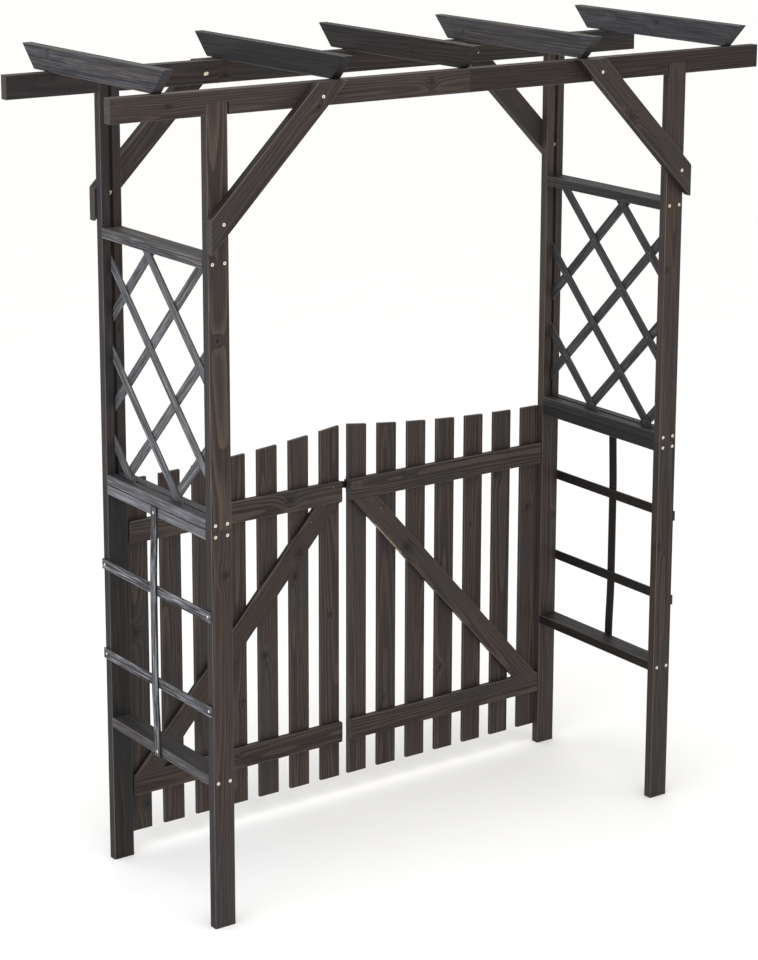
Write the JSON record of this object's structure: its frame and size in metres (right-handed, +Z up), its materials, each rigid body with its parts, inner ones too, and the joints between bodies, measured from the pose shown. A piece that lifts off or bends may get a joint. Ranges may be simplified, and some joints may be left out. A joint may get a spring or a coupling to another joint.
{
  "type": "garden arch with gate",
  "caption": "Wooden garden arch with lattice sides, slatted roof and a low double picket gate with a sliding bolt",
  "frame": {"origin": "on the ground under the middle of the whole arch", "axes": "X across the passage, left to right seen from the front; Y through the passage, toward the gate at the rear; Z up"},
  "size_m": [2.056, 0.707, 2.2243],
  "materials": {
    "posts": "planed pine with a dark brown-grey stain",
    "beams_and_knee_braces": "planed pine with a dark brown-grey stain",
    "rafters": "planed pine with a dark stain, greyer where light falls on it",
    "side_rails": "planed pine with a dark stain, greyer where light falls on it",
    "strips": "rough sawn strips with a dark stain",
    "gate_frame_boards": "planed pine with a dark brown-grey stain",
    "picket_boards": "planed pine with a dark brown-grey stain",
    "black_steel": "black coated steel"
  },
  "bodies": {
    "frame": {"front_beam": "beams_and_knee_braces", "front_left_knee_brace": "beams_and_knee_braces", "front_right_knee_brace": "beams_and_knee_braces", "left_bottom_rail": "side_rails", "left_front_lower_post": "posts", "left_front_upper_post": "posts", "left_lattice": "strips", "left_lower_hinge_plate": "black_steel", "left_middle_rails": "side_rails", "left_rear_lower_post": "posts", "left_rear_upper_post": "posts", "left_side_strips": "strips", "left_top_rail": "side_rails", "left_upper_hinge_plate": "black_steel", "rafter_1": "rafters", "rafter_2": "rafters", "rafter_3": "rafters", "rafter_4": "rafters", "rafter_5": "rafters", "rear_beam": "beams_and_knee_braces", "rear_left_knee_brace": "beams_and_knee_braces", "rear_right_knee_brace": "beams_and_knee_braces", "right_bottom_rail": "side_rails", "right_front_lower_post": "posts", "right_front_upper_post": "posts", "right_lattice": "strips", "right_lower_hinge_plate": "black_steel", "right_middle_rails": "side_rails", "right_rear_lower_post": "posts", "right_rear_upper_post": "posts", "right_side_strips": "strips", "right_top_rail": "side_rails", "right_upper_hinge_plate": "black_steel"},
    "left_leaf": {"left_leaf_diagonal_brace": "gate_frame_boards", "left_leaf_lower_hinge_strap": "black_steel", "left_leaf_lower_rail": "gate_frame_boards", "left_leaf_picket_1": "picket_boards", "left_leaf_picket_2": "picket_boards", "left_leaf_picket_3": "picket_boards", "left_leaf_picket_4": "picket_boards", "left_leaf_picket_5": "picket_boards", "left_leaf_picket_6": "picket_boards", "left_leaf_picket_7": "picket_boards", "left_leaf_upper_hinge_strap": "black_steel", "left_leaf_upper_rail": "gate_frame_boards", "gate_bolt_guide": "black_steel"},
    "right_leaf": {"right_leaf_diagonal_brace": "gate_frame_boards", "right_leaf_lower_hinge_strap": "black_steel", "right_leaf_lower_rail": "gate_frame_boards", "right_leaf_picket_1": "picket_boards", "right_leaf_picket_2": "picket_boards", "right_leaf_picket_3": "picket_boards", "right_leaf_picket_4": "picket_boards", "right_leaf_picket_5": "picket_boards", "right_leaf_picket_6": "picket_boards", "right_leaf_picket_7": "picket_boards", "right_leaf_upper_hinge_strap": "black_steel", "right_leaf_upper_rail": "gate_frame_boards", "gate_bolt_keeper": "black_steel"},
    "bolt": {"gate_bolt": "black_steel"}
  },
  "joints": [
    {"name": "left_leaf_swing", "type": "hinge", "parent": "frame", "child": "left_leaf", "pos_m": [-0.704, 0.2453, 0.559], "axis": [0, 0, 1], "range_deg": [0, 105]},
    {"name": "right_leaf_swing", "type": "hinge", "parent": "frame", "child": "right_leaf", "pos_m": [0.704, 0.2453, 0.559], "axis": [0, 0, -1], "range_deg": [0, 105]},
    {"name": "bolt_slide", "type": "slide", "parent": "left_leaf", "child": "bolt", "axis": [1, 0, 0], "range_m": [-0.012, 0.026]}
  ]
}
